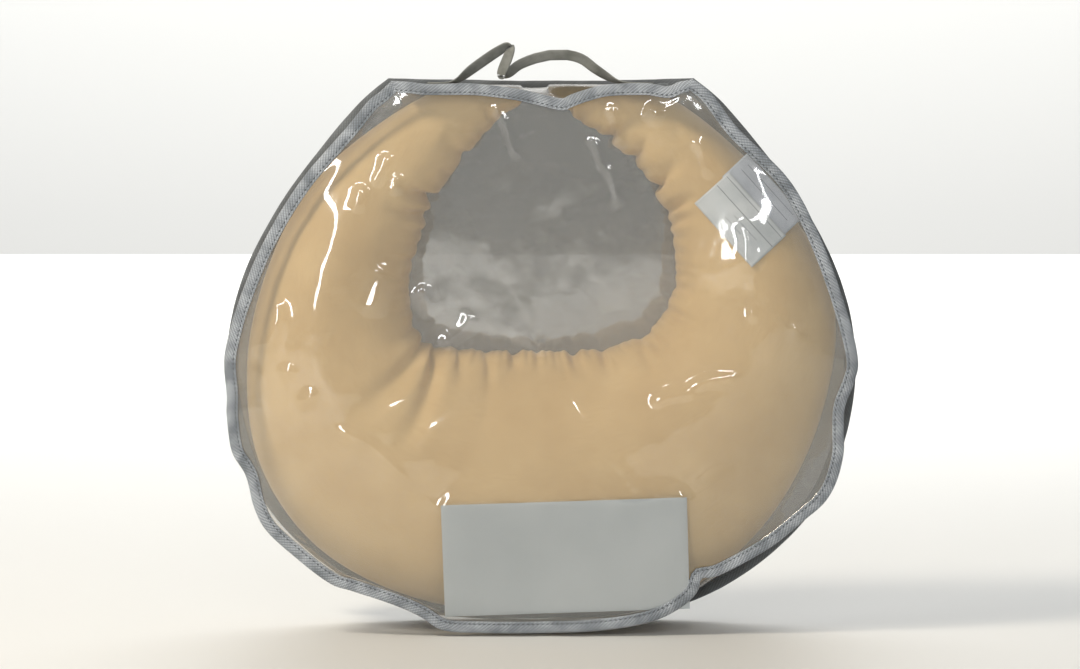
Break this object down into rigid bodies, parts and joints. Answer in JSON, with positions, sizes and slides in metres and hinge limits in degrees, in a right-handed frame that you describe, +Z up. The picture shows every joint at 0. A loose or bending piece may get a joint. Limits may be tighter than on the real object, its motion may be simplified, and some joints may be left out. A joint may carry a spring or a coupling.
{
  "type": "nursing pillow in a carry bag",
  "caption": "C-shaped stuffed cotton nursing pillow standing in a clear vinyl zipped carry bag with bound rims and a strap handle.",
  "frame": {"origin": "middle of the bag, on the surface that it stands on", "axes": "+Z up, -Y the front panel's outward side, +X to the right as seen from the front"},
  "size_m": [0.541, 0.1598, 0.5088],
  "materials": {
    "cotton_casing": "plain-woven tan cotton, matte",
    "fibre_fill": "loose white fibre filling",
    "label_cloth": "white printed satin label, print left out",
    "insert_card": "blank coated card, satin",
    "clear_vinyl": "clear soft vinyl sheet, glossy",
    "binding_tape": "grey twill binding tape, stitched",
    "strap_webbing": "grey folded tape strap",
    "zipper_tape": "grey woven zip tape",
    "zipper_coil": "grey nylon coil",
    "zip_metal": "grey enamelled die-cast zinc"
  },
  "bodies": {
    "bag_and_pillow": {"casing_front": "cotton_casing", "casing_back": "cotton_casing", "fibre_fill": "fibre_fill", "care_label_long": "label_cloth", "care_label_short": "label_cloth", "insert_card": "insert_card", "bag_front_panel": "clear_vinyl", "bag_back_panel": "clear_vinyl", "bag_gusset": "clear_vinyl", "bag_top_strip_front": "clear_vinyl", "bag_top_strip_rear": "clear_vinyl", "front_binding": "binding_tape", "rear_binding": "binding_tape", "handle_end_left": "strap_webbing", "handle_end_right": "strap_webbing", "zipper_tape_front": "zipper_tape", "zipper_tape_rear": "zipper_tape", "zipper_coil_front": "zipper_coil", "zipper_coil_rear": "zipper_coil", "zip_stop_left": "zip_metal", "zip_stop_right": "zip_metal"},
    "handle": {"handle_strap": "strap_webbing"},
    "zip_slider": {"zip_slider": "zip_metal"},
    "zip_pull_tab": {"zip_pull_tab": "zip_metal"}
  },
  "joints": [
    {"name": "handle_swing", "type": "hinge", "parent": "bag_and_pillow", "child": "handle", "pos_m": [0, -0.018, 0.475], "axis": [1, 0, 0], "range_deg": [-80, 80]},
    {"name": "zip_slide", "type": "slide", "parent": "bag_and_pillow", "child": "zip_slider", "axis": [-1, 0, 0], "range_m": [0, 0.212]},
    {"name": "pull_tab_flip", "type": "hinge", "parent": "zip_slider", "child": "zip_pull_tab", "pos_m": [0.106, 0.025, 0.4719], "axis": [0, 1, 0], "range_deg": [0, 175]}
  ]
}
